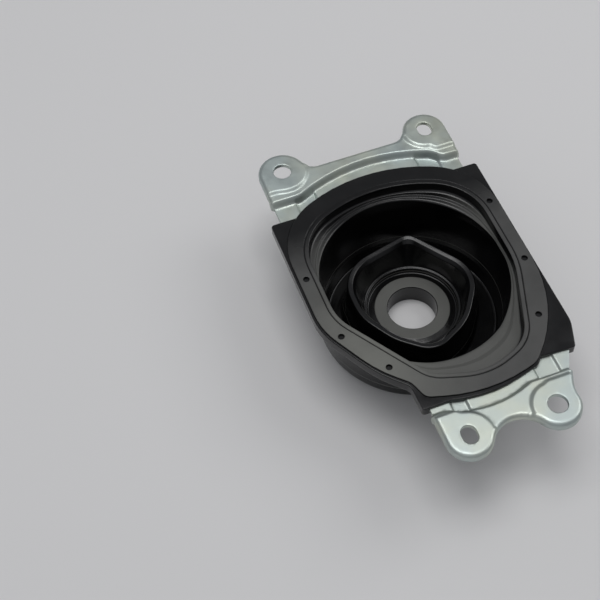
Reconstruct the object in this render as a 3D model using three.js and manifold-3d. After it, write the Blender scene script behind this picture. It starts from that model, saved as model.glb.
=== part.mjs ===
// Gear lever gaiter: a rubber bellows moulding over a pressed steel carrier with four bolt ears.
// Millimetres, drawn round the lever bore. The bowl stands on z = 0, and +Y is towards the wide bracket.

import * as THREE from 'three';
import { mergeVertices } from 'three/addons/utils/BufferGeometryUtils.js';
import Module from 'manifold-3d';

// Levels
const HEIGHT = 42.5; // top of the rubber flange above the foot
const COVER = 2.0; // rubber over the steel
const SHEET = 2.0; // steel thickness
const UNDERLAY = 1.7; // rubber under the steel
const RING_RISE = 0.6; // raised ring above the flange plate
const GAP = 0.3; // play between steel and rubber

// Flange and ring outlines
const HALF_WIDTH = 53.6; // both straight sides of the flange
const CORNER_Y = 49.3; // upper corners of the flange
const CORNER_ROUND = 1.5;
const RING_INSET = 1.2; // flange plate beyond the raised ring at the left, half of it at the right
const BOW_Y = -42.3; // right side of the ring bows in round this corner
const DIAGONAL_Y = -15.6; // where the left side of the ring turns in
const LAND_RIGHT = 46.9; // bore to the seam line
const LAND_LEFT = 45.7;
const LAND_GROOVE = 0.4; // depth and half width of the seam line
const RIM_INSET = 2.2; // seam line to the edge of the mouth
const RIM_ROUND = 0.7;
const RIM_WALL = 3.0; // rubber outside the mouth wall

// Bowl
const LEDGE_DEPTH = 5.4; // flange top down to the ledge
const LEDGE_STEP = 0.8; // small step half way across the ledge
const LEDGE_MIN = 0.8; // narrowest ledge, at the sides
const SHELF = 3.0; // rubber under the ledge
const MOUTH_X = 44.2;
const MOUTH_Y = 46.7;
const BOWL_TOP_R = 45.4;
const BOWL_LOW_R = 43.2; // just above the floor fillet
const FLOOR_R = 39.2; // crease between the wall and the floor
const FLOOR_THICK = 3.2;
const FLOOR_FILLET = 5.0;
const BOWL_WALL = 2.4;

// Five-sided bellows ridge
const RIDGE_Z = 26.3;
const RIDGE_HALF = 1.2;
const RIDGE_BEVEL = 1.5; // slope along the top of the inner side
const RIDGE_DRAFT = 3.2; // how far the outer side spreads down to the floor
const MEMBRANE = 2.2;

// Lever collar
const BORE_R = 12.0;
const COLLAR_R = 17.8;
const COLLAR_Z = 11.0;
const GROOVE_R = 22.0;
const GROOVE_DEPTH = 3.3;
const SHELF_Z = 12.8;
const EDGE = 0.6; // small rounds on the collar

// Core pin holes through the top rubber down to the steel
const PIN_R = 1.5;
const PINS = [[-48.9, 13.1], [-45.3, -22.1], [-31.6, -44.6], [49.2, 24.3], [49.6, -12.6], [41.5, -43.2]];

// Pressed forms of the steel, levels above the flange top
const WEB_RISE = 1.3;
const PAD_RISE = 1.2; // ear pads above the web
const LIP_LEVEL = -1.9; // lower edge of the turned-down lip
const LIP_START = 2.0; // the lip runs out this far beyond the bend line
const EDGE_ROLL = 2.2; // outside radius of the turned-down edge
const BEND_RUN = 1.35; // plan width of the wall from strip to web
const PAD_RUN = 1.2; // plan width of the wall round a pad
const STRIP_INSET = 1.3; // strip edge inside the lip
const TOP_START = 45; // upper strip begins inside the rubber, this far above the bore
const LOW_START = -57; // lower strip begins inside the rubber, this far below it
const EAR_R = 10.8;
const WIDE_EAR_R = 11.8; // upper left ear
const PAD_MARGIN = 0.8; // pad edge inside the ear's edge
const PAD_CORNER = 2.0;
const HOLE_R = 4.4;
const SLOT_R = 3.5;
const SLOT_SHIFT = 0.9; // half the straight length of a slot
const RECESS = 1.0; // pockets pressed into the strips
const BEND_DEPTH = 6; // the cutting forms reach this far past the sheet
const CARRIER_INSET = 1.2; // steel inside the edge of the raised ring
const OPENING_INSET = 0.6; // steel inside the seam line

// Bend lines and ears
const TOP_BEND_LEFT = 61.2;
const TOP_BEND_RIGHT = 59.0;
const LOW_BEND_Y = -74.9;
const TOP_EAR_X = 37.8;
const TOP_EAR_Y = 76.7;
const TOP_WEB_Y = 75.8;
const TOP_BLEND_R = 8;
const LOW_LEFT_X = -13.6;
const LOW_RIGHT_X = 27.5;
const LOW_EAR_Y = -88.7;
const SCALLOP_R = 13;
const WAIST_R = 15;
const WAIST_LEAN = 5; // degrees, from the ear centre to the waist centre
const SIDE_LEAN = 63; // degrees, run of the lower right side

const SEGMENTS = 64; // round the bore
const ARC_STEP = THREE.MathUtils.degToRad(12);

const wasm = await Module();
wasm.setup();

const at = (x, y) => new THREE.Vector2(x, y);
const join = (first, second) => first.add(second);

// Outline without the points that repeat where two arcs meet
const distinct = (points) => points.filter((p, i) => p.distanceTo(points.at(i - 1)) > 1e-3);

// Closed outline through corners [x, y, radius], each rounded by an arc tangent to its two sides
function rounded(corners) {
  const count = corners.length;
  const places = corners.map(([x, y]) => at(x, y));
  const sides = places.map((p, i) => places[(i + 1) % count].clone().sub(p));
  const halves = sides.map((side, i) => sides.at(i - 1).clone().negate().angleTo(side) / 2);
  const wanted = corners.map((corner, i) => (corner[2] ?? 0) / Math.tan(halves[i]));
  const share = sides.map((side, i) => {
    const both = wanted[i] + wanted[(i + 1) % count];
    return both > side.length() ? side.length() / both : 1;
  });
  return distinct(places.flatMap((corner, i) => {
    const reach = wanted[i] * Math.min(share[i], share.at(i - 1));
    if (reach < 1e-6) return [corner];
    const back = sides.at(i - 1).clone().normalize().negate();
    const ahead = sides[i].clone().normalize();
    const radius = reach * Math.tan(halves[i]);
    const middle = back.clone().add(ahead).setLength(radius / Math.sin(halves[i])).add(corner);
    const from = back.multiplyScalar(reach).add(corner).sub(middle);
    const turn = Math.sign(sides.at(i - 1).cross(sides[i])) * (Math.PI - 2 * halves[i]);
    const steps = Math.max(1, Math.ceil(Math.abs(turn) / ARC_STEP));
    const place = (_, k) => from.clone().rotateAround(at(0, 0), turn * k / steps).add(middle);
    return Array.from({ length: steps + 1 }, place);
  }));
}

// Outline moved outwards by a distance, vertex by vertex
function offset(points, distance) {
  return points.map((p, i) => {
    const before = p.clone().sub(points.at(i - 1)).normalize();
    const after = points[(i + 1) % points.length].clone().sub(p).normalize();
    const along = before.clone().add(after).normalize();
    const out = at(along.y, -along.x);
    return out.multiplyScalar(distance / Math.max(0.5, along.dot(before))).add(p);
  });
}

// Distance from the bore axis to an outline, along an angle
function reachAlong(points, angle) {
  const ray = at(Math.cos(angle), Math.sin(angle));
  for (let i = 0; i < points.length; i++) {
    const a = points[i];
    const side = points[(i + 1) % points.length].clone().sub(a);
    const scale = ray.cross(side);
    const distance = a.cross(side) / scale;
    const share = a.cross(ray) / scale;
    if (distance > 0 && share >= 0 && share <= 1) return distance;
  }
  throw new Error('the outline does not go round the bore');
}

// Solid of merged vertices, ready to be joined and cut
function solid(geometry) {
  const bare = geometry.clone();
  bare.deleteAttribute('normal');
  bare.deleteAttribute('uv');
  const merged = mergeVertices(bare, 1e-5);
  return new wasm.Manifold(new wasm.Mesh({
    numProp: 3,
    vertProperties: new Float32Array(merged.attributes.position.array),
    triVerts: new Uint32Array(merged.index.array),
  }));
}

// Skin between rings of equally many points; wrap joins the last ring to the first
function skin(rings, wrap) {
  const count = rings[0].length;
  const faces = [];
  for (let i = 0; i < rings.length - (wrap ? 0 : 1); i++) {
    for (let j = 0; j < count; j++) {
      const next = (j + 1) % count;
      const [a, b] = [i * count + j, i * count + next];
      const up = ((i + 1) % rings.length) * count;
      faces.push(a, b, up + next, a, up + next, up + j);
    }
  }
  return faces;
}

function fromFaces(rings, faces) {
  const geometry = new THREE.BufferGeometry();
  geometry.setFromPoints(rings.flat());
  geometry.setIndex(faces);
  return solid(geometry);
}

// Solid stacked from one outline, each level [offset, z] moved in or out
function stack(points, levels) {
  const rings = levels.map(([out, z]) => offset(points, out).map((p) => new THREE.Vector3(p.x, p.y, z)));
  const last = (rings.length - 1) * points.length;
  const cap = (out) => THREE.ShapeUtils.triangulateShape(offset(points, out), []);
  const floor = cap(levels[0][0]).flatMap(([a, b, c]) => [a, c, b]);
  const roof = cap(levels.at(-1)[0]).flatMap(([a, b, c]) => [last + a, last + b, last + c]);
  return fromFaces(rings, [...skin(rings, false), ...floor, ...roof]);
}

const plate = (points, low, high) => stack(points, [[0, low], [0, high]]);

// Upright slot or round hole through everything between two levels
function drill([x, y], radius, shift, low, high) {
  const shape = new THREE.Shape();
  shape.absarc(x, y + shift, radius, 0, Math.PI);
  shape.absarc(x, y - shift, radius, Math.PI, 2 * Math.PI);
  const settings = { depth: high - low, bevelEnabled: false, curveSegments: 10 };
  return solid(new THREE.ExtrudeGeometry(shape, settings).translate(0, 0, low));
}

// Outlines of the moulding, from corner points and radii
const RING_RIGHT = HALF_WIDTH - RING_INSET / 2;
const RING_LEFT = HALF_WIDTH - RING_INSET;
const RING = rounded([
  [RING_RIGHT, BOW_Y, 70], [RING_RIGHT, 45.5, 35.5], [0, 69, 80], [-RING_LEFT, 45.5, 35.5],
  [-RING_LEFT, DIAGONAL_Y, 35], [-36.8, -44.5, 60], [-25.6, -55.2, 8], [-22.6, -64.2, 5],
  [4, -72.4, 70], [29.6, -65.5, 12],
]);
const SEAM = rounded([
  [LAND_RIGHT, -13, 50], [LAND_RIGHT, 38.3, 30], [0, 59.3, 70], [-LAND_LEFT, 38.3, 30],
  [-LAND_LEFT, -12.8, 26], [-17.2, -56.4, 16], [8, -64.4, 34], [32.5, -54.6, 22],
]);
const RIDGE = rounded([
  [32.6, -0.4, 18.5], [10.2, 31.2, 6], [-28.4, 22.2, 20], [-28.4, -5, 25], [-18.6, -22, 30],
  [-3.5, -34.7, 12], [16.5, -24.3, 30],
]);
const FLANGE = rounded([
  [HALF_WIDTH, CORNER_Y, CORNER_ROUND], [-HALF_WIDTH, CORNER_Y, CORNER_ROUND], [-HALF_WIDTH, -16.2, 34],
  [-37.9, -45.1, 60], [-26.6, -56.6, 5], [-26.2, -69.6, CORNER_ROUND], [-12.6, -69.4, 4], [4, -73.6, 60],
  [30, -66.6, 4], [33, -63.2, 0], [49.2, -64.2, CORNER_ROUND], [HALF_WIDTH, -51.5, 16],
]);

const RIM = offset(SEAM, -RIM_INSET);
const flangeLow = HEIGHT - COVER - SHEET - UNDERLAY;
const steelTop = HEIGHT - COVER;
const steelLow = steelTop - SHEET;
const ledgeZ = HEIGHT - LEDGE_DEPTH;

// Contours as functions of the angle round the bore
const round = (radius) => () => radius;
const follow = (points, out = 0) => (angle) => reachAlong(points, angle) + out;
const mix = (inner, outer, share) => (angle) => THREE.MathUtils.lerp(inner(angle), outer(angle), share);
const mouth = (out = 0) => (angle) => {
  const oval = 1 / Math.hypot(Math.cos(angle) / MOUTH_X, Math.sin(angle) / MOUTH_Y);
  return Math.min(oval, reachAlong(RIM, angle) - LEDGE_MIN) + out;
};

// Section of the moulding, from the foot of the ring over the top to the bore and back underneath
function mouldingSection() {
  const shelf = round(GROOVE_R + EDGE);
  const inside = follow(RIDGE, -RIDGE_HALF - RIDGE_BEVEL);
  const underside = round(GROOVE_R + MEMBRANE);
  const wallLow = FLOOR_THICK + FLOOR_FILLET;
  return [
    [follow(RING), flangeLow],
    [follow(RING), HEIGHT - EDGE / 2],
    [follow(RING, -EDGE / 2), HEIGHT],
    [follow(SEAM, LAND_GROOVE), HEIGHT],
    [follow(SEAM), HEIGHT - LAND_GROOVE],
    [follow(SEAM, -LAND_GROOVE), HEIGHT],
    [follow(RIM, RIM_ROUND), HEIGHT],
    [follow(RIM), HEIGHT - RIM_ROUND],
    [follow(RIM), ledgeZ],
    [mix(mouth(), follow(RIM), 0.5), ledgeZ],
    [mix(mouth(), follow(RIM), 0.4), ledgeZ - LEDGE_STEP],
    [mouth(EDGE), ledgeZ - LEDGE_STEP],
    [mouth(), ledgeZ - LEDGE_STEP - EDGE],
    [round(BOWL_TOP_R), ledgeZ - 6],
    [round(BOWL_LOW_R), wallLow],
    [round(BOWL_LOW_R - 0.3 * FLOOR_FILLET), FLOOR_THICK + 0.3 * FLOOR_FILLET],
    [round(FLOOR_R), FLOOR_THICK],
    [follow(RIDGE, RIDGE_HALF + RIDGE_DRAFT), FLOOR_THICK],
    [follow(RIDGE, RIDGE_HALF + EDGE), RIDGE_Z - 2 * EDGE],
    [follow(RIDGE, RIDGE_HALF), RIDGE_Z - EDGE / 2],
    [follow(RIDGE, RIDGE_HALF / 2), RIDGE_Z],
    [follow(RIDGE, -RIDGE_HALF / 2), RIDGE_Z],
    [follow(RIDGE, -RIDGE_HALF), RIDGE_Z - EDGE / 2],
    [inside, RIDGE_Z - RIDGE_BEVEL - EDGE],
    [mix(inside, shelf, 0.25), SHELF_Z + 4],
    [mix(inside, shelf, 0.5), SHELF_Z + 1],
    [shelf, SHELF_Z],
    [round(GROOVE_R), SHELF_Z - EDGE],
    [round(GROOVE_R - EDGE), COLLAR_Z - GROOVE_DEPTH],
    [round(COLLAR_R), COLLAR_Z - GROOVE_DEPTH],
    [round(COLLAR_R), COLLAR_Z - EDGE],
    [round(COLLAR_R - EDGE), COLLAR_Z],
    [round(BORE_R + EDGE), COLLAR_Z],
    [round(BORE_R), COLLAR_Z - EDGE],
    [round(BORE_R), 0],
    [round(COLLAR_R), 0],
    [round(COLLAR_R), COLLAR_Z - GROOVE_DEPTH - MEMBRANE],
    [underside, COLLAR_Z - GROOVE_DEPTH - MEMBRANE],
    [round(GROOVE_R + MEMBRANE + EDGE), SHELF_Z - MEMBRANE],
    [follow(RIDGE, -EDGE), RIDGE_Z - 3 * MEMBRANE],
    [follow(RIDGE, EDGE), RIDGE_Z - 3 * MEMBRANE],
    [follow(RIDGE, RIDGE_HALF + RIDGE_DRAFT - MEMBRANE), 0],
    [round(FLOOR_R + BOWL_WALL), 0],
    [round(BOWL_LOW_R + BOWL_WALL - 0.3 * FLOOR_FILLET), 0.25 * FLOOR_FILLET],
    [round(BOWL_LOW_R + BOWL_WALL), FLOOR_FILLET],
    [round(BOWL_TOP_R + BOWL_WALL), ledgeZ - SHELF - 1],
    [mouth(RIM_WALL), ledgeZ - SHELF],
    [follow(RIM, RIM_WALL), ledgeZ - SHELF],
    [follow(RIM, RIM_WALL), flangeLow],
  ];
}

function mouldingBody() {
  const angles = Array.from({ length: SEGMENTS }, (_, i) => 2 * Math.PI * i / SEGMENTS);
  const rings = mouldingSection().map(([reach, z]) => angles.map((angle) => {
    const r = reach(angle);
    return new THREE.Vector3(r * Math.cos(angle), r * Math.sin(angle), z);
  }));
  return fromFaces(rings, skin(rings, true));
}

// Free edge of each bracket: tangent arcs [x, y, radius, turn, start, end] in degrees
function arcs(list) {
  const path = new THREE.Path();
  for (const [x, y, radius, clockwise, start, end] of list) {
    path.absarc(x, y, radius, THREE.MathUtils.degToRad(start), THREE.MathUtils.degToRad(end), clockwise);
  }
  return path.curves.flatMap((curve) => {
    const steps = curve.isEllipseCurve ? Math.ceil(curve.getLength() / curve.xRadius / ARC_STEP) : 1;
    return curve.getPoints(steps).slice(0, -1);
  });
}

// Blend from an ear's disc into the straight upper edge: how far it leans, and where its centre lies
function topBlend(earR) {
  const lean = Math.asin((TOP_WEB_Y + TOP_BLEND_R - TOP_EAR_Y) / (earR + TOP_BLEND_R));
  return { lean: THREE.MathUtils.radToDeg(lean), x: TOP_EAR_X - (earR + TOP_BLEND_R) * Math.cos(lean) };
}

function topEdge() {
  const [slim, wide] = [topBlend(EAR_R), topBlend(WIDE_EAR_R)];
  const blendY = TOP_WEB_Y + TOP_BLEND_R;
  const edge = arcs([
    [TOP_EAR_X, TOP_EAR_Y, EAR_R, false, 0, 180 - slim.lean],
    [slim.x, blendY, TOP_BLEND_R, true, -slim.lean, -90],
    [-wide.x, blendY, TOP_BLEND_R, true, -90, wide.lean - 180],
    [-TOP_EAR_X, TOP_EAR_Y, WIDE_EAR_R, false, wide.lean, 180],
  ]);
  const left = -TOP_EAR_X - WIDE_EAR_R;
  return distinct([...edge, at(left, TOP_EAR_Y), at(left, TOP_START), at(TOP_EAR_X + EAR_R, TOP_START)]);
}

function lowEdge() {
  const half = (LOW_RIGHT_X - LOW_LEFT_X) / 2;
  const lean = THREE.MathUtils.radToDeg(Math.acos(half / (EAR_R + SCALLOP_R)));
  const scallopY = LOW_EAR_Y - Math.sqrt((EAR_R + SCALLOP_R) ** 2 - half ** 2);
  const waist = at(EAR_R + WAIST_R, 0).rotateAround(at(0, 0), THREE.MathUtils.degToRad(WAIST_LEAN));
  const edge = arcs([
    [LOW_LEFT_X, LOW_EAR_Y, EAR_R, false, 180, 360 - lean],
    [LOW_LEFT_X + half, scallopY, SCALLOP_R, true, 180 - lean, lean],
    [LOW_RIGHT_X, LOW_EAR_Y, EAR_R, false, 180 + lean, 360 + WAIST_LEAN],
    [LOW_RIGHT_X + waist.x, LOW_EAR_Y + waist.y, WAIST_R, true, 180 + WAIST_LEAN, 90 + SIDE_LEAN],
  ]);
  const bow = THREE.MathUtils.degToRad(90 + SIDE_LEAN);
  const turn = at(WAIST_R, 0).rotateAround(at(0, 0), bow).add(waist).add(at(LOW_RIGHT_X, LOW_EAR_Y));
  const run = (LOW_START - turn.y) / Math.tan(THREE.MathUtils.degToRad(SIDE_LEAN));
  return distinct([...edge, turn, at(turn.x + run, LOW_START), at(LOW_LEFT_X - EAR_R, LOW_START)]);
}

// Everything beyond the bend line of each bracket, and beyond the bend line of each ear pad
const FAR = 70;
const BEYOND = 110;
const TOP_BEND = rounded([
  [FAR, TOP_BEND_RIGHT], [FAR, BEYOND], [-FAR, BEYOND], [-FAR, TOP_BEND_LEFT], [-34.8, TOP_BEND_LEFT, 6],
  [-0.2, 78.5, 84.7], [35.5, 63.9, 10], [40.5, TOP_BEND_RIGHT, 4],
]);
const LOW_BEND = rounded([
  [-FAR, LOW_BEND_Y], [-FAR, -BEYOND], [FAR, -BEYOND], [FAR, LOW_BEND_Y], [22.2, LOW_BEND_Y, 6],
  [2, LOW_BEND_Y - 8.8, 51], [-18.2, LOW_BEND_Y, 6],
]);
const PADS = [
  { centre: [TOP_EAR_X, TOP_EAR_Y], ear: EAR_R, side: 1, bend: TOP_BEND_RIGHT + 5.1, slotted: true },
  { centre: [-TOP_EAR_X, TOP_EAR_Y], ear: WIDE_EAR_R, side: -1, bend: TOP_BEND_LEFT + 5.6, slotted: false },
  { centre: [LOW_LEFT_X, LOW_EAR_Y], ear: EAR_R, side: -1, bend: LOW_BEND_Y - 2.1, slotted: true },
  { centre: [LOW_RIGHT_X, LOW_EAR_Y], ear: EAR_R, side: 1, bend: LOW_BEND_Y - 2.9, slotted: false },
];
const POCKETS = [
  { left: -37.2, right: -26.8, inner: 51.5, outer: 72 },
  { left: 27.4, right: 37.6, inner: 51.5, outer: 72 },
  { left: -13.6, right: -6.8, inner: -66, outer: -86 },
  { left: 27.4, right: 38, inner: -60.5, outer: -86 },
];

// Wall down from a level, foot first: a flare, the slope and a round at the top; slide moves it all outwards
const wall = (top, drop, run, slide) => [
  [run * 1.25 + slide, top - drop], [run + slide, top - drop * 0.86],
  [run * 0.35 + slide, top - drop * 0.2], [slide, top],
];

// Block with the free edge rolled over, up to a level
function rolled(edge, inset, low, top, radius) {
  const round = [0, 45, 90].map((turn) => {
    const angle = THREE.MathUtils.degToRad(turn);
    return [-inset - radius * (1 - Math.cos(angle)), top - radius * (1 - Math.sin(angle))];
  });
  return stack(edge, [[-inset, low], ...round]);
}

// Area of an ear pad: the disc round its hole and the square corner out to the bend line
function padArea({ centre: [x, y], ear, side, bend }, levels) {
  const far = Math.sign(y) * BEYOND;
  const r = ear - PAD_MARGIN;
  const disc = rounded([[x - r, y - r, r], [x + r, y - r, r], [x + r, y + r, r], [x - r, y + r, r]]);
  const [low, high] = [Math.min(bend, far), Math.max(bend, far)];
  const [left, right] = [Math.min(x, x + side * FAR), Math.max(x, x + side * FAR)];
  const corner = rounded([[left, low, PAD_CORNER], [right, low, PAD_CORNER], [right, high], [left, high]]);
  return stack(disc, levels).add(stack(corner, levels));
}

// One pressed bracket: web beyond the bend line, raised ear pads, rolled edge and hollow underside
function bracket(edge, bend, pads) {
  const webTop = HEIGHT + WEB_RISE;
  const padTop = webTop + PAD_RISE;
  const deep = steelLow - BEND_DEPTH;
  const form = (inset, low, lower, bendSlide, padSlide) => {
    const bendWall = wall(webTop - lower, webTop - steelTop, BEND_RUN, bendSlide);
    const padWall = wall(padTop - lower, PAD_RISE, PAD_RUN, padSlide);
    const web = rolled(edge, inset, low, webTop - lower, EDGE_ROLL - inset)
      .intersect(stack(bend, [[bendWall[0][0], deep], ...bendWall]));
    const raised = rolled(edge, inset, low, padTop - lower, EDGE_ROLL - inset);
    const areas = pads.map((pad) => padArea(pad, [[padWall[0][0], deep], ...padWall]));
    return areas.reduce((body, area) => body.add(raised.intersect(area)), web);
  };
  const freeLip = plate(offset(bend, -LIP_START), deep, HEIGHT + LIP_LEVEL);
  return {
    outside: form(0, steelLow, 0, 0, 0).subtract(freeLip),
    hollow: form(SHEET, deep, SHEET, -BEND_RUN, -PAD_RUN / 2),
  };
}

// Flat ring of the carrier with its strips and pockets; grow leaves play for the rubber round it
function carrierPlate(grow) {
  const low = steelLow - grow;
  const high = steelTop + grow;
  const topStrip = offset(topEdge(), grow - STRIP_INSET);
  const lowStrip = offset(lowEdge(), grow - STRIP_INSET);
  const ring = offset(RING, grow - CARRIER_INSET);
  const body = [ring, topStrip, lowStrip].map((outline) => plate(outline, low, high)).reduce(join);
  const pockets = POCKETS.map(({ left, right, inner, outer }) => {
    const [from, to] = [Math.min(inner, outer), Math.max(inner, outer)];
    const pocket = [at(left, from), at(right, from), at(right, to), at(left, to)];
    return {
      pad: stack(pocket, [[grow - RECESS / 2, low - RECESS], [grow + RECESS / 2, low]]),
      recess: stack(pocket, [[-RECESS / 2, high - RECESS], [RECESS / 2, high]]),
    };
  });
  const opening = plate(offset(SEAM, -OPENING_INSET - grow), low - 2 * RECESS, high + RECESS);
  return { body, pockets, opening };
}

function steelCarrier() {
  const { body, pockets, opening } = carrierPlate(0);
  const top = bracket(topEdge(), TOP_BEND, PADS.slice(0, 2));
  const low = bracket(lowEdge(), LOW_BEND, PADS.slice(2));
  const past = (out) => [TOP_BEND, LOW_BEND]
    .map((bend) => plate(offset(bend, out), steelLow - BEND_DEPTH, HEIGHT)).reduce(join);
  const [beyond, foot] = [past(-BEND_RUN / 2), past(BEND_RUN)];
  let steel = body.subtract(beyond);
  for (const { pad, recess } of pockets) {
    steel = steel.add(pad.subtract(beyond)).subtract(recess.subtract(foot));
  }
  steel = steel.subtract(opening).add(top.outside).add(low.outside);
  steel = steel.subtract(top.hollow).subtract(low.hollow);
  for (const { centre, slotted } of PADS) {
    const [radius, shift] = slotted ? [SLOT_R, SLOT_SHIFT] : [HOLE_R, 0];
    steel = steel.subtract(drill(centre, radius, shift, steelLow, HEIGHT + BEND_DEPTH));
  }
  return steel;
}

function rubberMoulding() {
  const { body, pockets, opening } = carrierPlate(GAP);
  const flange = stack(FLANGE, [
    [0, flangeLow], [0, HEIGHT - RING_RISE - EDGE / 2], [-EDGE / 2, HEIGHT - RING_RISE],
  ]).subtract(plate(offset(RIM, RIM_WALL / 2), 0, HEIGHT));
  const slot = [body, ...pockets.map(({ pad }) => pad)].reduce(join).subtract(opening);
  const pins = PINS.map((place) => drill(place, PIN_R, 0, steelTop, HEIGHT + COVER)).reduce(join);
  return mouldingBody().add(flange).subtract(slot).subtract(pins);
}

function mesh(name, body, material) {
  const { numProp, vertProperties, triVerts } = body.getMesh();
  const geometry = new THREE.BufferGeometry();
  const xyz = numProp === 3 ? vertProperties : vertProperties.filter((_, i) => i % numProp < 3);
  geometry.setAttribute('position', new THREE.BufferAttribute(xyz, 3));
  geometry.setIndex(new THREE.BufferAttribute(triVerts, 1));
  geometry.translate(0, -middleY, 0);
  geometry.computeVertexNormals();
  const result = new THREE.Mesh(geometry, material);
  result.name = name;
  return result;
}

// The middle of the whole length lies over the origin
const length = { top: TOP_EAR_Y + WIDE_EAR_R, bottom: LOW_EAR_Y - EAR_R };
const middleY = (length.top + length.bottom) / 2;
const gaiter = new THREE.Group();
const rubber = new THREE.MeshStandardMaterial({ color: 0x1c1c1d, roughness: 0.55, metalness: 0 });
const zinc = new THREE.MeshStandardMaterial({ color: 0xb4b9bb, roughness: 0.35, metalness: 1 });
gaiter.add(mesh('rubber_gaiter', rubberMoulding(), rubber));
gaiter.add(mesh('steel_carrier', steelCarrier(), zinc));

export default gaiter;
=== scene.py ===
import math
import bmesh
import bpy
import numpy as np
from mathutils import Matrix, Vector


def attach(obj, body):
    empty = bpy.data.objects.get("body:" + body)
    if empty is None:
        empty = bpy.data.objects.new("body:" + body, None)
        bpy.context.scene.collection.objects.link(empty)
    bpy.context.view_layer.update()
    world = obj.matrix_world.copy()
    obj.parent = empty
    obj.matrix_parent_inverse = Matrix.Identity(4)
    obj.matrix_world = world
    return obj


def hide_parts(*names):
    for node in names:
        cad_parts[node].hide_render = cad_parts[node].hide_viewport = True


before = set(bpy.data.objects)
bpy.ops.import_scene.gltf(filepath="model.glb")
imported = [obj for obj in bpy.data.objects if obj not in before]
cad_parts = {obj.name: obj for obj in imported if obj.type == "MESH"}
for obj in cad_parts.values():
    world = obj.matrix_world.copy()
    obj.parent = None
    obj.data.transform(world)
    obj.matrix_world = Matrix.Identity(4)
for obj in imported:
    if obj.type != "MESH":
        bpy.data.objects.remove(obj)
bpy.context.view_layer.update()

scene = bpy.context.scene
mm = 0.001
boreY = 5.5  # everything is drawn round the lever bore, then moved this far along Y

# Levels in mm above the foot, shared by the pieces and their finishes
flangeTop = 42.5
steelTop = 40.5
steelLow = 38.5
ledgeTop = 37.1
ledgeLow = ledgeTop - 0.8
flangeLow = 36.8
collarTop = 11.0


# Outlines
def rounded(corners, step=6):  # closed outline through [x, y, radius]
    count = len(corners)
    places = [Vector(c[:2]) for c in corners]
    radii = [c[2] if len(c) > 2 else 0 for c in corners]
    sides = [places[(i + 1) % count] - p for i, p in enumerate(places)]
    halves = [(-sides[i - 1]).angle(sides[i]) / 2 for i in range(count)]
    wanted = [r / math.tan(h) for r, h in zip(radii, halves)]
    share = [
        min(1, side.length / max(wanted[i] + wanted[(i + 1) % count], 1e-9))
        for i, side in enumerate(sides)]
    outline = []
    for i, corner in enumerate(places):
        reach = wanted[i] * min(share[i], share[i - 1])
        if reach < 1e-6:
            outline.append(corner)
            continue
        back, ahead = -sides[i - 1].normalized(), sides[i].normalized()
        radius = reach * math.tan(halves[i])
        middle = corner + (back + ahead).normalized() * radius / math.sin(halves[i])
        start = corner + back * reach - middle
        turn = math.copysign(math.pi - 2 * halves[i], sides[i - 1].cross(sides[i]))
        steps = max(1, math.ceil(abs(turn) / math.radians(step)))
        for k in range(steps + 1):
            outline.append(middle + Matrix.Rotation(turn * k / steps, 2) @ start)
    return [p for i, p in enumerate(outline) if (p - outline[i - 1]).length > 1e-3]


def offset(points, distance):  # outwards where distance is positive
    moved = []
    for i, p in enumerate(points):
        before = (p - points[i - 1]).normalized()
        after = (points[(i + 1) % len(points)] - p).normalized()
        along = (before + after).normalized()
        moved.append(p + Vector((along.y, -along.x)) * distance / max(0.5, along.dot(before)))
    return moved


def reachAlong(points, angle):  # distance from the bore axis to an outline
    ray = Vector((math.cos(angle), math.sin(angle)))
    for i, a in enumerate(points):
        side = points[(i + 1) % len(points)] - a
        scale = ray.cross(side)
        if abs(scale) < 1e-12:
            continue
        distance, share = a.cross(side) / scale, a.cross(ray) / scale
        if distance > 0 and -1e-4 <= share <= 1 + 1e-4:
            return distance
    raise ValueError("the outline does not go round the bore")


ring = rounded([
    [53.0, -42.3, 70], [53.0, 45.5, 35.5], [0, 69, 80], [-52.4, 45.5, 35.5],
    [-52.4, -15.6, 35], [-36.8, -44.5, 60], [-25.6, -55.2, 8], [-22.6, -64.2, 5],
    [4, -72.4, 70], [29.6, -65.5, 12]])
seam = rounded([
    [46.9, -13, 50], [46.9, 38.3, 30], [0, 59.3, 70], [-45.7, 38.3, 30],
    [-45.7, -12.8, 26], [-17.2, -56.4, 16], [8, -64.4, 34], [32.5, -54.6, 22]])
ridge = rounded([
    [32.6, -0.4, 18.5], [10.2, 31.2, 6], [-28.4, 22.2, 20], [-28.4, -5, 25],
    [-18.6, -22, 30], [-3.5, -34.7, 12], [16.5, -24.3, 30]])
flange = rounded([
    [53.6, 49.3, 1.5], [-53.6, 49.3, 1.5], [-53.6, -16.2, 34], [-37.9, -45.1, 60],
    [-26.6, -56.6, 5], [-26.2, -69.6, 1.5], [-12.6, -69.4, 4], [4, -73.6, 60],
    [30, -66.6, 4], [33, -63.2, 0], [49.2, -64.2, 1.5], [53.6, -51.5, 16]])
rim = offset(seam, -2.2)


# Helpers
def toMesh(name, bm, material):  # from mm round the bore to metres in the frame
    bmesh.ops.translate(bm, vec=(0, boreY, 0), verts=bm.verts)
    bmesh.ops.scale(bm, vec=(mm, mm, mm), verts=bm.verts)
    mesh = bpy.data.meshes.new(name)
    bm.to_mesh(mesh)
    bm.free()
    mesh.materials.append(material)
    return mesh


def linked(name, mesh):
    thing = bpy.data.objects.new(name, mesh)
    scene.collection.objects.link(thing)
    return thing


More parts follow.
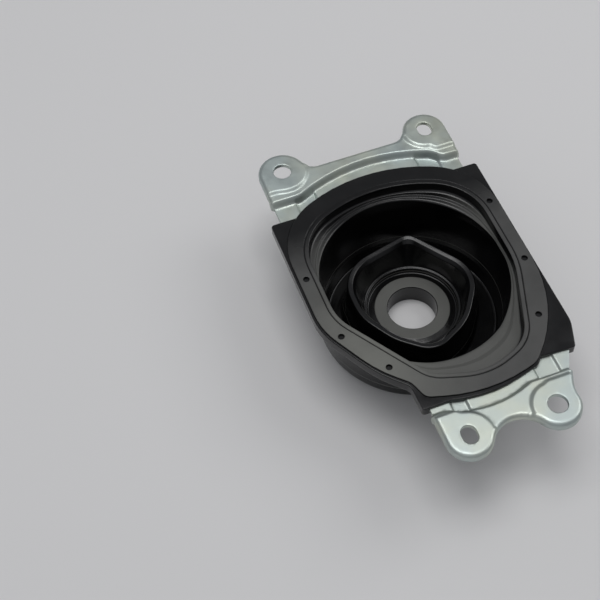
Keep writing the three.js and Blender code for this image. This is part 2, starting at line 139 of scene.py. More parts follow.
def carved(mesh, tool):  # mesh with another one taken out of it
    body, cutter = linked("body", mesh), linked("cutter", tool)
    cut = body.modifiers.new("cut", "BOOLEAN")
    cut.operation = "DIFFERENCE"
    cut.object = cutter
    cut.solver = "MANIFOLD"
    bpy.context.view_layer.update()
    evaluated = body.evaluated_get(bpy.context.evaluated_depsgraph_get())
    result = bpy.data.meshes.new_from_object(evaluated)
    bpy.data.objects.remove(body)
    bpy.data.objects.remove(cutter)
    return result


def vertsOf(geometry):
    return [g for g in geometry if isinstance(g, bmesh.types.BMVert)]


def extrudeLoop(bm, edges):
    made = bmesh.ops.extrude_edge_only(bm, edges=edges)["geom"]
    return vertsOf(made), [g for g in made if isinstance(g, bmesh.types.BMEdge)]


def prism(outline, bottom, top, material):
    bm = bmesh.new()
    face = bm.faces.new([bm.verts.new((p.x, p.y, bottom)) for p in outline])
    risen = bmesh.ops.extrude_face_region(bm, geom=[face])["geom"]
    bmesh.ops.translate(bm, vec=(0, 0, top - bottom), verts=vertsOf(risen))
    bmesh.ops.recalc_face_normals(bm, faces=bm.faces)
    return toMesh("prism", bm, material)


def makePiece(name, meshes, node, sharp):
    whole = bmesh.new()
    for mesh in meshes:
        whole.from_mesh(mesh)
    result = bpy.data.meshes.new(name)
    whole.to_mesh(result)
    whole.free()
    result.materials.append(meshes[0].materials[0])
    result.shade_smooth()
    result.set_sharp_from_angle(angle=math.radians(sharp))
    piece = linked(name, result)
    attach(piece, "root")
    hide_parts(node)
    return piece


def newSheet():  # bmesh with room for what its edges need to remember
    bm = bmesh.new()
    for name in ("out", "base"):
        bm.verts.layers.float_vector.new(name)
    for name in ("under", "away"):
        bm.verts.layers.float.new(name)
    bm.verts.layers.int.new("onHole")
    bm.edges.layers.int.new("diagonal")
    return bm


# Extrudes a boundary once for each station, which gives [out, z] from a starting point
def walkRim(bm, edges, stations):
    out, base = bm.verts.layers.float_vector["out"], bm.verts.layers.float_vector["base"]
    for v in {v for e in edges for v in e.verts}:
        v[out] = (0, 0, 0)
        v[base] = v.co
    for e in edges:
        a, b = e.verts
        normal = Vector((b.co.y - a.co.y, a.co.x - b.co.x, 0))  # a longer edge counts for more
        if normal.dot(e.link_faces[0].calc_center_median() - a.co) > 0:
            normal.negate()
        for v in e.verts:
            v[out] = v[out] + normal
    for station in stations:
        verts, edges = extrudeLoop(bm, edges)
        for v in verts:
            away, z = station(v[base])
            flat = v[base] + v[out].normalized() * away
            v.co = (flat.x, flat.y, z)


def bowed(corners, angle):  # section corners [reach, z, fillet, steps] as one rounded profile
    places = [Vector((reach(angle), z)) for reach, z, fillet, steps in corners]
    points = []
    for i, (reach, z, fillet, steps) in enumerate(corners):
        here, before, after = places[i], places[i - 1], places[(i + 1) % len(places)]
        back, ahead = before - here, after - here
        half = back.angle(ahead) / 2
        length = min(fillet / math.tan(half), 0.49 * back.length, 0.49 * ahead.length)
        start, end = here + back.normalized() * length, here + ahead.normalized() * length
        weight = math.sin(half)  # makes the curve a true arc
        for k in range(steps + 1):
            t = k / steps
            pull = 2 * t * (1 - t) * weight
            blend = (1 - t) ** 2 + pull + t * t
            points.append(((1 - t) ** 2 * start + pull * here + t * t * end) / blend)
    return points


# Materials
def nodesOf(name):
    material = bpy.data.materials.new(name)
    material.use_nodes = True
    tree = material.node_tree
    return material, tree, tree.nodes["Principled BSDF"]


def noiseOf(tree, scale, detail=3, roughness=0.5):
    where = tree.nodes.new("ShaderNodeTexCoord")
    noise = tree.nodes.new("ShaderNodeTexNoise")
    noise.inputs["Scale"].default_value = scale
    noise.inputs["Detail"].default_value = detail
    noise.inputs["Roughness"].default_value = roughness
    tree.links.new(where.outputs["Object"], noise.inputs["Vector"])
    return noise.outputs["Fac"]


def rangeOf(tree, value, low, high, fromLow=0.3, fromHigh=0.7):
    span = tree.nodes.new("ShaderNodeMapRange")
    span.inputs["From Min"].default_value = fromLow
    span.inputs["From Max"].default_value = fromHigh
    span.inputs["To Min"].default_value = low
    span.inputs["To Max"].default_value = high
    tree.links.new(value, span.inputs["Value"])
    return span.outputs["Result"]


def mathOf(tree, operation, *values):
    node = tree.nodes.new("ShaderNodeMath")
    node.operation = operation
    for socket, value in zip(node.inputs, values):
        if isinstance(value, (int, float)):
            socket.default_value = value
        else:
            tree.links.new(value, socket)
    return node.outputs[0]


def bandOf(tree, level, rise, fall):  # 1 from rise to fall, each a pair of levels in mm
    grows = rangeOf(tree, level, 0, 1, rise[0] * mm, rise[1] * mm)
    return mathOf(tree, "MULTIPLY", grows, rangeOf(tree, level, 1, 0, fall[0] * mm, fall[1] * mm))


def mixOf(tree, share, first, second):
    mix = tree.nodes.new("ShaderNodeMix")
    mix.data_type = "RGBA"
    tree.links.new(share, mix.inputs["Factor"])
    for socket, colour in ((mix.inputs[6], first), (mix.inputs[7], second)):
        if isinstance(colour, tuple):
            socket.default_value = (*colour, 1)
        else:
            tree.links.new(colour, socket)
    return mix.outputs[2]


def bumpOf(tree, height, strength, distance, before=None):
    bump = tree.nodes.new("ShaderNodeBump")
    bump.inputs["Strength"].default_value = strength
    bump.inputs["Distance"].default_value = distance
    tree.links.new(height, bump.inputs["Height"])
    if before:
        tree.links.new(before, bump.inputs["Normal"])
    return bump.outputs["Normal"]


rubberLook = {
    "dark": (0.0015, 0.0015, 0.0017),
    "pale": (0.0035, 0.0035, 0.0036),
    "paintedSheen": (0.056, 0.056, 0.054),  # painted sheen: faint grey lift on the near matt faces
    "paintedSheenFade": (22, 46),  # mm along Y over which the painted sheen fades out
    "paintedBrightSheen": (0.135, 0.137, 0.122),  # painted sheen: lighter grey on the ring's lower left, the collar top and the near ledge
    "brightSheenAt": (-36, -30, 42),
    "brightSheenFade": (6, 52),  # mm from that place
    "collarPaintedSheen": 0.45,
    "ledgePaintedSheen": 0.3,
    "smooth": 0.13,
    "matt": 0.48,
    "mattShare": 0.6,  # the rest of the roughness comes from the mottling
    "specular": 0.48,
    "grain": 0.05,
}
blackRubber, tree, shader = nodesOf("blackRubber")
where = tree.nodes.new("ShaderNodeTexCoord")
parted = tree.nodes.new("ShaderNodeSeparateXYZ")
tree.links.new(where.outputs["Object"], parted.inputs["Vector"])
lengthwise, level = parted.outputs["Y"], parted.outputs["Z"]
cloud = noiseOf(tree, 45, 5, 0.6)
ringFace = rangeOf(tree, level, 0, 1, (flangeTop - 0.35) * mm, (flangeTop - 0.15) * mm)
ledgeFace = bandOf(tree, level, (ledgeLow - 0.5, ledgeLow - 0.2), (ledgeTop + 0.1, ledgeTop + 0.5))
collarFace = bandOf(
    tree, level, (collarTop - 0.15, collarTop - 0.05), (collarTop + 0.2, collarTop + 0.6))
nearHalf = rangeOf(tree, lengthwise, 1, 0, *(y * mm for y in rubberLook["paintedSheenFade"]))
nearFaces = mathOf(tree, "MULTIPLY", mathOf(tree, "MAXIMUM", ringFace, ledgeFace), nearHalf)
mattFace = mathOf(tree, "MAXIMUM", nearFaces, collarFace)
# painted sheen: the near matt faces and the collar top are lifted towards grey in patches, standing
# in for the softbox's reflection
patchyPaintedSheen = mathOf(tree, "MULTIPLY", mattFace, rangeOf(tree, cloud, 0.75, 1.1))
# painted sheen: a lighter grey spot on the ring's matt top, strongest at its lower left
brightSheenDistance = tree.nodes.new("ShaderNodeVectorMath")
brightSheenDistance.operation = "DISTANCE"
brightSheenDistance.inputs[1].default_value = [c * mm for c in rubberLook["brightSheenAt"]]
tree.links.new(where.outputs["Object"], brightSheenDistance.inputs[0])
brightSheenShare = rangeOf(tree, brightSheenDistance.outputs["Value"], 1, 0, *(d * mm for d in rubberLook["brightSheenFade"]))
paintedBrightSheen = mathOf(tree, "MULTIPLY", patchyPaintedSheen, brightSheenShare)
# painted sheen: the collar's upward face is lifted to the lighter grey
collarPaintedSheen = mathOf(tree, "MULTIPLY", collarFace, rubberLook["collarPaintedSheen"])
paintedBrightSheen = mathOf(tree, "MAXIMUM", paintedBrightSheen, collarPaintedSheen)
# painted sheen: the near part of the ledge is lifted to the lighter grey
nearLedge = mathOf(tree, "MULTIPLY", ledgeFace, nearHalf)
ledgePaintedSheen = mathOf(tree, "MULTIPLY", nearLedge, rubberLook["ledgePaintedSheen"])
paintedBrightSheen = mathOf(tree, "MAXIMUM", paintedBrightSheen, ledgePaintedSheen)
plain = mixOf(tree, rangeOf(tree, cloud, 0, 1), rubberLook["dark"], rubberLook["pale"])
withPaintedSheen = mixOf(tree, patchyPaintedSheen, plain, rubberLook["paintedSheen"])
tree.links.new(mixOf(tree, paintedBrightSheen, withPaintedSheen, rubberLook["paintedBrightSheen"]), shader.inputs["Base Color"])
mottling = rangeOf(tree, noiseOf(tree, 90, 4), 0, 1 - rubberLook["mattShare"])
finish = mathOf(tree, "MULTIPLY_ADD", mattFace, rubberLook["mattShare"], mottling)
roughness = rangeOf(tree, finish, rubberLook["smooth"], rubberLook["matt"], 0, 1)
tree.links.new(roughness, shader.inputs["Roughness"])
shader.inputs["Specular IOR Level"].default_value = rubberLook["specular"]
grain = bumpOf(tree, noiseOf(tree, 2600, 2), rubberLook["grain"], 0.0002)
swell = bumpOf(tree, noiseOf(tree, 160, 3), 0.05, 0.0006, grain)
tree.links.new(swell, shader.inputs["Normal"])

zincLook = {
    "blue": (0.49, 0.55, 0.535),
    "straw": (0.57, 0.60, 0.515),
    "smooth": 0.34,
    "matt": 0.52,
    "ripple": 0.03,
}
zincSteel, tree, shader = nodesOf("zincSteel")
tint = rangeOf(tree, noiseOf(tree, 38), 0, 1, 0.38, 0.68)
plating = mixOf(tree, tint, zincLook["blue"], zincLook["straw"])
tree.links.new(plating, shader.inputs["Base Color"])
cloudy = noiseOf(tree, 130, 5, 0.65)
roughness = rangeOf(tree, cloudy, zincLook["smooth"], zincLook["matt"])
tree.links.new(roughness, shader.inputs["Roughness"])
shader.inputs["Metallic"].default_value = 1
ripple = bumpOf(tree, noiseOf(tree, 110), zincLook["ripple"], 0.0012)
tree.links.new(bumpOf(tree, noiseOf(tree, 1500, 2), 0.04, 0.0002, ripple), shader.inputs["Normal"])
print("materials done")


# Rubber moulding
def evenRound(radius):
    return lambda angle: radius


def follow(points, out=0):
    return lambda angle: reachAlong(points, angle) + out


def mixed(inner, outer, share):
    return lambda angle: inner(angle) + (outer(angle) - inner(angle)) * share


def mouth(out=0):
    def reach(angle):
        halfWidth, halfLength = moulding["mouth"]
        oval = 1 / math.hypot(math.cos(angle) / halfWidth, math.sin(angle) / halfLength)
        return min(oval, reachAlong(rim, angle) - 0.8) + out
    return reach


moulding = {
    "mouth": (44.2, 46.7),  # radii in mm
    "bowlTop": 45.4,
    "bowlLow": 43.2,
    "funnel": 23.2,
    "shelf": 22,
    "groove": 21.6,
    "collar": 17.9,
    "bore": 12,
    "pin": 1.5,
    "ridgeLevel": 26.3,  # levels in mm above the foot
    "shelfLevel": 12.8,
    "grooveLevel": 9.7,
    "floorLevel": 3.2,
    "hollowLevel": 19.7,
    "skirtLevel": 34.1,
    "plateLevel": flangeTop - 0.6,  # the corners lie a little under the ring
    "around": 200,
    "pinsAt": [
        [-48.9, 13.1], [-45.3, -22.1], [-31.6, -44.6], [49.2, 24.3], [49.6, -12.6], [41.5, -43.2]],
}
ridgeTop, skirt = moulding["ridgeLevel"], moulding["skirtLevel"]
section = [
    [follow(ring), flangeLow, 0.3, 2],
    [follow(ring), flangeTop, 0.4, 3],
    [follow(seam, 0.5), flangeTop, 0.15, 1],  # fine groove round the ring
    [follow(seam), flangeTop - 0.5, 0.2, 1],
    [follow(seam, -0.5), flangeTop, 0.15, 1],
    [follow(rim), flangeTop, 0.5, 4],
    [follow(rim), ledgeTop, 2.2, 6],  # ledge with a step in it
    [mixed(mouth(), follow(rim), 0.5), ledgeTop, 0.5, 4],
    [mixed(mouth(), follow(rim), 0.36), ledgeLow, 0.8, 4],
    [mouth(), ledgeLow, 2.4, 6],
    [evenRound(moulding["bowlTop"]), ledgeTop - 6, 3, 3],  # bowl
    [evenRound(moulding["bowlLow"]), 8.2, 3, 3],
    [evenRound(41.2), moulding["floorLevel"], 0.7, 3],
    [evenRound(40.1), moulding["floorLevel"], 0.4, 3],
    [follow(ridge, 4.2), 5.8, 1.2, 3],
    [follow(ridge, 1.2), ridgeTop, 0.9, 5],  # bellows ridge, its top leaning inwards
    [follow(ridge, -1.3), ridgeTop - 0.6, 0.6, 4],
    [follow(ridge, -2.7), ridgeTop - 2.4, 1.0, 4],
    [evenRound(moulding["funnel"]), moulding["shelfLevel"], 0.7, 3],
    [evenRound(moulding["shelf"]), moulding["shelfLevel"], 0.5, 4],
    [evenRound(moulding["groove"]), moulding["grooveLevel"], 0.6, 3],
    [evenRound(moulding["collar"]), collarTop, 0.5, 3],
    [evenRound(moulding["bore"]), collarTop, 0.6, 4],
    [evenRound(moulding["bore"]), 0, 0.5, 3],
    [evenRound(17.8), 0, 0.5, 3],  # underside, from the collar outwards
    [evenRound(17.8), 5.5, 0.6, 2],
    [evenRound(24.2), 5.5, 0.8, 2],
    [evenRound(24.8), 10.6, 1, 2],
    [follow(ridge, -0.6), moulding["hollowLevel"], 1, 2],
    [follow(ridge, 0.6), moulding["hollowLevel"], 0.6, 2],
    [follow(ridge, 2.2), 0, 0.8, 3],
    [evenRound(41.6), 0, 3, 4],
    [evenRound(45.6), 5, 5, 4],
    [evenRound(47.8), skirt - 1, 1, 2],
    [mouth(3), skirt, 0.5, 2],
    [follow(rim, 3), skirt, 0.8, 3],
    [follow(rim, 3), flangeLow, 0.5, 2],
]
turns = [2 * math.pi * i / moulding["around"] for i in range(moulding["around"])]
turns += [math.atan2(p.y, p.x) % (2 * math.pi) for p in ring + ridge + seam]
turns = sorted(turns)
turns = [a for i, a in enumerate(turns) if i == 0 or a - turns[i - 1] > math.radians(0.2)]
profiles = [bowed(section, a) for a in turns]
rows = len(profiles[0])

# One circle round the bore is extruded through every row of the profiles
bm = bmesh.new()
turnOf = bm.verts.layers.int.new("turn")
verts = bmesh.ops.create_circle(bm, segments=len(turns), radius=50)["verts"]
for i, v in enumerate(verts):
    v[turnOf] = i
edges = bm.edges[:]
for k in range(rows + 1):
    if k:
        verts, edges = extrudeLoop(bm, edges)
    for v in verts:
        point, angle = profiles[v[turnOf]][k % rows], turns[v[turnOf]]
        v.co = (point.x * math.cos(angle), point.x * math.sin(angle), point.y)
bmesh.ops.remove_doubles(bm, verts=bm.verts, dist=1e-4)
bmesh.ops.recalc_face_normals(bm, faces=bm.faces)
body = toMesh("body", bm, blackRubber)

# Pin holes down to the steel, with softened edges
pin = moulding["pin"]
pinRows = [
    (pin, flangeTop - 0.25), (pin + 0.1, flangeTop - 0.07),
    (pin + 0.3, flangeTop), (pin + 0.3, flangeTop + 1)]
bm = bmesh.new()
for x, y in moulding["pinsAt"]:
    verts = bmesh.ops.create_circle(bm, segments=32, radius=pin)["verts"]
    bmesh.ops.translate(bm, vec=(x, y, steelTop - 0.2), verts=verts)
    edges = list({e for v in verts for e in v.link_edges})
    for radius, z in pinRows:
        verts, edges = extrudeLoop(bm, edges)
        for v in verts:
            away = Vector((v.co.x - x, v.co.y - y)).normalized() * radius
            v.co = (x + away.x, y + away.y, z)
bmesh.ops.holes_fill(bm, edges=bm.edges[:], sides=0)
bmesh.ops.recalc_face_normals(bm, faces=bm.faces)
body = carved(body, toMesh("pins", bm, blackRubber))

# Flange plate, with a fine groove along the ring's edge
plateTop, plateLow = moulding["plateLevel"], flangeLow + 0.1
plateEdge = [
    (0.25, plateTop - 0.07), (0.43, plateTop - 0.25), (0.5, plateTop - 0.5),
    (0.5, plateLow + 0.3), (0.4, plateLow + 0.1), (0, plateLow)]
bm = newSheet()
bm.faces.new([bm.verts.new((p.x, p.y, plateTop)) for p in offset(flange, -0.5)])
topEdges = bm.edges[:]
for v in vertsOf(bmesh.ops.duplicate(bm, geom=bm.verts[:] + bm.edges[:] + bm.faces[:])["geom"]):
    v.co.z = plateLow
walkRim(bm, topEdges, [lambda b, row=row: row for row in plateEdge])
bmesh.ops.remove_doubles(bm, verts=bm.verts, dist=1e-4)
bmesh.ops.recalc_face_normals(bm, faces=bm.faces)
plate = toMesh("plate", bm, blackRubber)
plate = carved(plate, prism(offset(ring, 0.3), plateTop - 0.6, flangeTop + 1, blackRubber))
plate = carved(plate, prism(offset(rim, 1.5), flangeLow - 1, flangeTop + 1, blackRubber))
moulded = makePiece("rubberMoulding", [body, plate], "rubber_gaiter", 40)
weighted = moulded.modifiers.new("evenShade", "WEIGHTED_NORMAL")
weighted.keep_sharp = True
print("rubber done", len(moulded.data.polygons))


# Steel carrier
carrier = {
    "web": 43.8,  # levels in mm above the foot
    "pad": 45.0,
    "lip": 40.6,
    "roll": 2.2,  # radius of the rolled edge
    "plainEdge": 0.9,  # how far the strip runs out where it isn't rolled
    "bendWidth": 2.8,
    "padWidth": 2.4,
    "padCorner": 2,
    "pocket": 1.0,
    "pocketWall": 1.7,
    "pocketCorner": 0.6,
    "holeEdge": 0.4,
    "slides": (1.35, 0.6, -0.4),  # how far bend, pad and pocket walls move for the underside
    "pitch": 1.0,
}
ears = [  # hole is the radius, slot is how far its two ends are moved from the middle
    {"at": (37.8, 76.7), "r": 10.8, "side": 1, "bend": 64.1, "hole": 3.5, "slot": 0.9},
    {"at": (-37.8, 76.7), "r": 11.8, "side": -1, "bend": 66.8, "hole": 4.4, "slot": 0},
    {"at": (-13.6, -88.7), "r": 10.8, "side": -1, "bend": -77.0, "hole": 3.5, "slot": 0.9},
    {"at": (27.5, -88.7), "r": 10.8, "side": 1, "bend": -77.8, "hole": 4.4, "slot": 0},
]
pockets = [  # x from and to, y from and to
    [-37.2, -26.8, 51.5, 72], [27.4, 37.6, 51.5, 72],
    [-13.6, -6.8, -86, -66], [27.4, 38, -86, -60.5]]
topBend = rounded([
    [70, 59], [70, 110], [-70, 110], [-70, 61.2], [-34.8, 61.2, 6], [-0.2, 78.5, 84.7],
    [35.5, 63.9, 10], [40.5, 59, 4]])
lowBend = rounded([
    [-70, -74.9], [-70, -110], [70, -110], [70, -74.9], [22.2, -74.9, 6], [2, -83.7, 51],
    [-18.2, -74.9, 6]])


def arc(x, y, radius, start, end, step=6):  # degrees, clockwise where end is the smaller
    count = max(1, math.ceil(abs(end - start) / step))
    angles = [math.radians(start + (end - start) * k / count) for k in range(count + 1)]
    return [Vector((x + radius * math.cos(a), y + radius * math.sin(a))) for a in angles]


def distinct(points):
    return [p for i, p in enumerate(points) if (p - points[i - 1]).length > 1e-2]


def topEdge(inset):  # free edge of the upper bracket, moved in
    blend, web = 8, 75.8  # hollow radius between ear and web, and the web's free edge
    foot, footLeft, footRight = 46.5, -49.6, 48.6  # where the strip ends inside the rubber
    (rightX, y), (leftX, _) = ears[0]["at"], ears[1]["at"]
    radii = (ears[0]["r"], ears[1]["r"])
    leans = [math.degrees(math.asin((web + blend - y) / (r + blend))) for r in radii]
    reach = [(r + blend) * math.cos(math.radians(a)) for r, a in zip(radii, leans)]
    points = arc(rightX, y, radii[0] - inset, 0, 180 - leans[0])
    points += arc(rightX - reach[0], web + blend, blend + inset, -leans[0], -90)
    points += arc(leftX + reach[1], web + blend, blend + inset, -90, leans[1] - 180)
    points += arc(leftX, y, radii[1] - inset, leans[1], 180)
    inner = sorted([p for p in offset(seam, 1) if p.y > foot + 0.5], key=lambda p: p.x)
    ends = Vector((footLeft + inset, foot)), Vector((footRight - inset, foot))
    return distinct(points + [ends[0], *inner, ends[1]])


def lowEdge(inset):  # the same for the lower bracket
    scallop, waist = 13, 15  # hollow radii between the ears and beside the right one
    foot, slant = -57, 63  # where the strip ends, and how steeply its right side runs there
    (left, y), (right, _), ear = ears[2]["at"], ears[3]["at"], ears[2]["r"]
    half = (right - left) / 2
    lean = math.degrees(math.acos(half / (ear + scallop)))
    scallopY = y - math.sqrt((ear + scallop) ** 2 - half ** 2)
    bow = Vector((ear + waist, 0))
    bow.rotate(Matrix.Rotation(math.radians(5), 2))
    points = arc(left, y, ear - inset, 180, 360 - lean)
    points += arc(left + half, scallopY, scallop + inset, 180 - lean, lean)
    points += arc(right, y, ear - inset, 180 + lean, 365)
    points += arc(right + bow.x, y + bow.y, waist + inset, 185, 153)
    run = (foot - points[-1].y) / math.tan(math.radians(slant))
    inner = sorted([p for p in offset(seam, 1) if p.y < foot - 0.5], key=lambda p: -p.x)
    ends = Vector((points[-1].x + run, foot)), Vector((left - ear + inset, foot))
    return distinct(points + [ends[0], *inner, ends[1]])


def signedTo(outline, xy):  # distance to an outline, negative inside
    a = np.array([tuple(p) for p in outline])
    b = np.roll(a, -1, axis=0)
    best = np.full(len(xy), 1e9)
    crossed = np.zeros(len(xy), int)
    for p, q in zip(a, b):
        side = q - p
        share = np.clip(((xy - p) @ side) / (side @ side), 0, 1)
        best = np.minimum(best, np.hypot(*(xy - p - share[:, None] * side).T))
        over = (p[1] > xy[:, 1]) != (q[1] > xy[:, 1])
        if abs(side[1]) > 1e-9:
            crossed += over & (xy[:, 0] < p[0] + (xy[:, 1] - p[1]) / side[1] * side[0])
    return np.where(crossed % 2 == 1, -best, best)


def boxDistance(xy, low, high, corner):
    middle, half = (np.array(low) + high) / 2, (np.array(high) - low) / 2 - corner
    q = np.abs(xy - middle) - half
    return np.hypot(*np.maximum(q, 0).T) + np.minimum(q.max(axis=1), 0) - corner


def padDistance(ear, xy):  # the raised pad: a disc that runs on outwards past the bend
    x, y = ear["at"]
    outside = x + ear["side"] * 70
    beyond = math.copysign(130, y)
    disc = np.hypot(xy[:, 0] - x, xy[:, 1] - y) - (ear["r"] - 0.8)
    low = [min(x, outside), min(ear["bend"], beyond)]
    high = [max(x, outside), max(ear["bend"], beyond)]
    corner = boxDistance(xy, low, high, carrier["padCorner"])
    blend = np.clip(0.5 + (corner - disc) / 3, 0, 1)
    return corner * (1 - blend) + disc * blend - 1.5 * blend * (1 - blend)


def pocketDistances(xy):
    corner = carrier["pocketCorner"]
    return [boxDistance(xy, [x0, y0], [x1, y1], corner) for x0, x1, y0, y1 in pockets]


def rise(distance, width):  # 1 inside, down to 0 over the width of the wall
    t = np.clip(distance / width, 0, 1)
    return 0.5 + 0.5 * np.cos(math.pi * t)


def heights(xy, bend, pads, side):  # level of the sheet, side 0 for its top and 1 for its underside
    bendSlide, padSlide, pocketSlide = (side * slide for slide in carrier["slides"])
    up = rise(signedTo(bend, xy) + bendSlide, carrier["bendWidth"])
    z = steelTop + (carrier["web"] - steelTop) * up - side * (steelTop - steelLow)
    padStep = carrier["pad"] - carrier["web"]
    for ear in pads:
        z = z + padStep * rise(padDistance(ear, xy) + padSlide, carrier["padWidth"])
    for distance in pocketDistances(xy):
        sunk = rise(distance + 0.8 + pocketSlide, carrier["pocketWall"])
        z = z - carrier["pocket"] * sunk * (1 - up)
    return z


def nearWall(xy, bend, pads):
    near = np.abs(signedTo(bend, xy)) < 3
    for ear in pads:
        near |= np.abs(padDistance(ear, xy)) < 2.6
    for distance in pocketDistances(xy):
        near |= np.abs(distance) < 1.6
    return near


def planOf(loops, bend, pads):  # flat sheet with holes, cut into a grid and finer near its walls
    flat = newSheet()
    for points in loops:
        made = [flat.verts.new((p.x, p.y, 0)) for p in points]
        for a, b in zip(made, made[1:] + made[:1]):
            flat.edges.new((a, b))
    bmesh.ops.triangle_fill(flat, use_beauty=True, edges=flat.edges[:])
    diagonal = flat.edges.layers.int["diagonal"]
    for e in flat.edges:
        e[diagonal] = 0 if e.is_boundary else 1
    for axis in (0, 1):
        values = [p[axis] for p in loops[0]]
        place = math.floor(min(values)) + carrier["pitch"] / 2
        while place < max(values):
            point, normal = [0, 0, 0], [0, 0, 0]
            point[axis], normal[axis] = place, 1
            whole = flat.verts[:] + flat.edges[:] + flat.faces[:]
            bmesh.ops.bisect_plane(flat, geom=whole, dist=1e-3, plane_co=point, plane_no=normal)
            place += carrier["pitch"]
    inner = [e for e in flat.edges if e[diagonal] and not e.is_boundary]
    bmesh.ops.dissolve_edges(flat, edges=inner)
    spare = [v for v in flat.verts if len(v.link_edges) == 2 and not v.is_boundary]
    bmesh.ops.dissolve_verts(flat, verts=spare)
    bmesh.ops.remove_doubles(flat, verts=flat.verts, dist=0.02)
    middles = np.array([((e.verts[0].co + e.verts[1].co) / 2)[:2] for e in flat.edges])
    fine = [e for e, near in zip(flat.edges[:], nearWall(middles, bend, pads)) if near]
    bmesh.ops.subdivide_edges(flat, edges=fine, cuts=2, use_grid_fill=True)
    bmesh.ops.triangulate(flat, faces=[f for f in flat.faces if len(f.verts) > 4])
    bmesh.ops.recalc_face_normals(flat, faces=flat.faces)
    if flat.faces[:][0].normal.z < 0:
        bmesh.ops.reverse_faces(flat, faces=flat.faces)
    return flat


def holeOf(ear, radius):  # round, or a slot along Y
    x, y = ear["at"]
    upper = arc(x, y + ear["slot"], radius, 0, 180)
    lower = arc(x, y - ear["slot"], radius, 180, 360)
    return upper + lower if ear["slot"] else upper[:-1] + lower[:-1]


def pressed(edge, bend, pads):  # one bracket with its strip
    soft = carrier["holeEdge"]
    holes = [holeOf(ear, ear["hole"] + soft) for ear in pads]
    sheet = planOf([edge(carrier["roll"])] + holes, bend, pads)
    verts = sheet.verts[:]
    xy = np.array([v.co[:2] for v in verts])
    upper = heights(xy, bend, pads, 0)
    under = heights(xy, bend, pads, 1)
    bendAway = signedTo(bend, xy)
    lower, away = sheet.verts.layers.float["under"], sheet.verts.layers.float["away"]
    onHole = sheet.verts.layers.int["onHole"]
    for i, v in enumerate(verts):
        v[lower], v[away] = under[i], bendAway[i]
        reach = min(
            (Vector(v.co[:2]) - Vector(ear["at"])).length - ear["hole"] - ear["slot"]
            for ear in pads)
        v[onHole] = 1 if reach < 0.6 else 0
    whole = sheet.verts[:] + sheet.edges[:] + sheet.faces[:]
    copied = bmesh.ops.duplicate(sheet, geom=whole)["geom"]
    copiedFaces = [g for g in copied if isinstance(g, bmesh.types.BMFace)]
    bmesh.ops.reverse_faces(sheet, faces=copiedFaces)
    for v in vertsOf(copied):
        v.co.z = v[lower]
    for v, z in zip(verts, upper):
        v.co.z = z
    topSide = set(verts)
    boundary = [e for e in sheet.edges if e.is_boundary and e.verts[0] in topSide]
    holeEdges = [e for e in boundary if e.verts[0][onHole] and e.verts[1][onHole]]
    outerEdges = [e for e in boundary if not (e.verts[0][onHole] and e.verts[1][onHole])]
    state = {(round(v.co.x, 4), round(v.co.y, 4)): (v[lower], v[away]) for v in verts}

    def lookup(b):  # level of the underside and distance to the bend
        return state[(round(b.x, 4), round(b.y, 4))]

    def rolling(kind, turn=0):  # rolled down round the bracket, plain along the strip
        def station(b):
            underside, bendAt = lookup(b)
            onBracket = min(1, max(0, (2.0 - bendAt) / 0.8))
            lip, roll, out = carrier["lip"], carrier["roll"], carrier["plainEdge"]
            if bendAt >= -2:  # the lip comes down to the strip beside the bend
                lip = steelLow + 0.1 + max(0, -1 - bendAt) * (carrier["lip"] - steelLow)
            late = max(0, (turn - 1) / 0.57)
            curl = {
                "roll": (roll * math.sin(turn), b.z - roll * (1 - math.cos(turn))),
                "foot": (roll, lip + 0.35),
                "edge": (roll - 0.12, lip + 0.1),
                "sole": (roll - 0.35, lip),
                "inner": (0.25, lip),
                "home": (0, underside),
            }[kind]
            plainly = {
                "roll": (out * math.sin(turn), b.z - 0.35 * late),
                "foot": (out, underside + 0.35),
                "edge": (out - 0.1, underside + 0.1),
                "sole": (out - 0.3, underside),
                "inner": (0.25, underside),
                "home": (0, underside),
            }[kind]
            curl = (curl[0], min(curl[1], b.z))
            return [c * onBracket + p * (1 - onBracket) for c, p in zip(curl, plainly)]
        return station

    quarter = [rolling("roll", math.radians(90) * k / 6) for k in range(1, 7)]
    walkRim(sheet, outerEdges, quarter + [
        rolling(kind) for kind in ("foot", "edge", "sole", "inner", "home")])
    walkRim(sheet, holeEdges, [
        lambda b: (soft * 0.5, b.z - soft * 0.125), lambda b: (soft * 0.85, b.z - soft * 0.45),
        lambda b: (soft, b.z - soft), lambda b: (soft, lookup(b)[0] + 0.1),
        lambda b: (0, lookup(b)[0])])
    bmesh.ops.remove_doubles(sheet, verts=sheet.verts, dist=1e-3)
    bmesh.ops.recalc_face_normals(sheet, faces=sheet.faces)
    return sheet


brackets = [
    toMesh("bracket", pressed(topEdge, topBend, ears[:2]), zincSteel),
    toMesh("bracket", pressed(lowEdge, lowBend, ears[2:]), zincSteel)]
inlay = carved(  # flat ring of the sheet inside the rubber
    prism(offset(ring, -1.5), steelLow, steelTop, zincSteel),
    prism(offset(seam, -0.3), steelLow - 1, steelTop + 1, zincSteel))
steel = makePiece("pressedCarrier", [*brackets, inlay], "steel_carrier", 50)
print("steel done", len(steel.data.polygons))


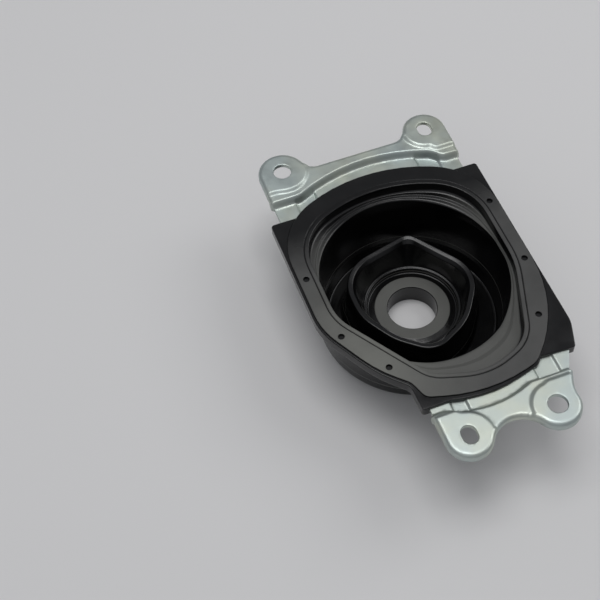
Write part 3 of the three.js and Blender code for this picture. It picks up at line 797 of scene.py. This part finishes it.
# Floor, light and camera
studio = {
    "floor": (0.70, 0.695, 0.695),
    "size": 6,
    "air": (0.93, 0.95, 1),
    "airStrength": 0.31,
    "key": 3.4,
    "top": 8.2,
    "fill": 2.5,
    "lens": 72,
    "swing": 17.4,  # degrees the camera looks past the part's length
    "tilt": 55.3,  # degrees it looks down
    "roll": -3.4,
    "eye": (-0.1488, -0.2941 + boreY * mm, 0.4925),
}
floorLook, tree, shader = nodesOf("paleFloor")
shader.inputs["Base Color"].default_value = (*studio["floor"], 1)
shader.inputs["Roughness"].default_value = 0.9
shader.inputs["Specular IOR Level"].default_value = 0.2
bm = bmesh.new()
bmesh.ops.create_grid(bm, x_segments=2, y_segments=2, size=studio["size"] / 2)
mesh = bpy.data.meshes.new("floor")
bm.to_mesh(mesh)
bm.free()
mesh.materials.append(floorLook)
floor = linked("floor", mesh)

air = bpy.data.worlds.new("air")
air.use_nodes = True
background = air.node_tree.nodes["Background"]
background.inputs["Color"].default_value = (*studio["air"], 1)
background.inputs["Strength"].default_value = studio["airStrength"]
scene.world = air


def softbox(name, place, target, width, height, power):
    lamp = bpy.data.lights.new(name, "AREA")
    lamp.shape = "RECTANGLE"
    lamp.size, lamp.size_y = width, height
    lamp.energy = power
    holder = bpy.data.objects.new(name, lamp)
    holder.location = place
    direction = Vector(target) - Vector(place)
    holder.rotation_euler = direction.to_track_quat("-Z", "Y").to_euler()
    scene.collection.objects.link(holder)


softbox("keyLight", (1.0, 0.12, 0.95), (0, 0, 0.03), 0.7, 0.7, studio["key"])
softbox("topLight", (-0.12, 0.17, 1.5), (-0.12, 0.17, 0), 1.0, 0.7, studio["top"])
softbox("fillLight", (-0.8, -1.0, 1.5), (0, 0, 0.03), 2.2, 1.8, studio["fill"])

view = bpy.data.cameras.new("camera")
view.lens = studio["lens"]
view.sensor_width = 36
view.clip_start = 0.01
camera = bpy.data.objects.new("camera", view)
swing, tilt, roll = (math.radians(studio[name]) for name in ("swing", "tilt", "roll"))
across = Vector((math.cos(swing), -math.sin(swing), 0))
along = Vector((math.sin(swing), math.cos(swing), 0))
upright = along * math.sin(tilt) + Vector((0, 0, math.cos(tilt)))
sight = along * math.cos(tilt) - Vector((0, 0, math.sin(tilt)))
right = across * math.cos(roll) + upright * math.sin(roll)
top = upright * math.cos(roll) - across * math.sin(roll)
pose = Matrix((right, top, -sight)).transposed().to_4x4()
pose.translation = Vector(studio["eye"])
camera.matrix_world = pose
scene.collection.objects.link(camera)
scene.camera = camera
scene.view_settings.view_transform = "Standard"

bpy.context.view_layer.update()
print("scene done")
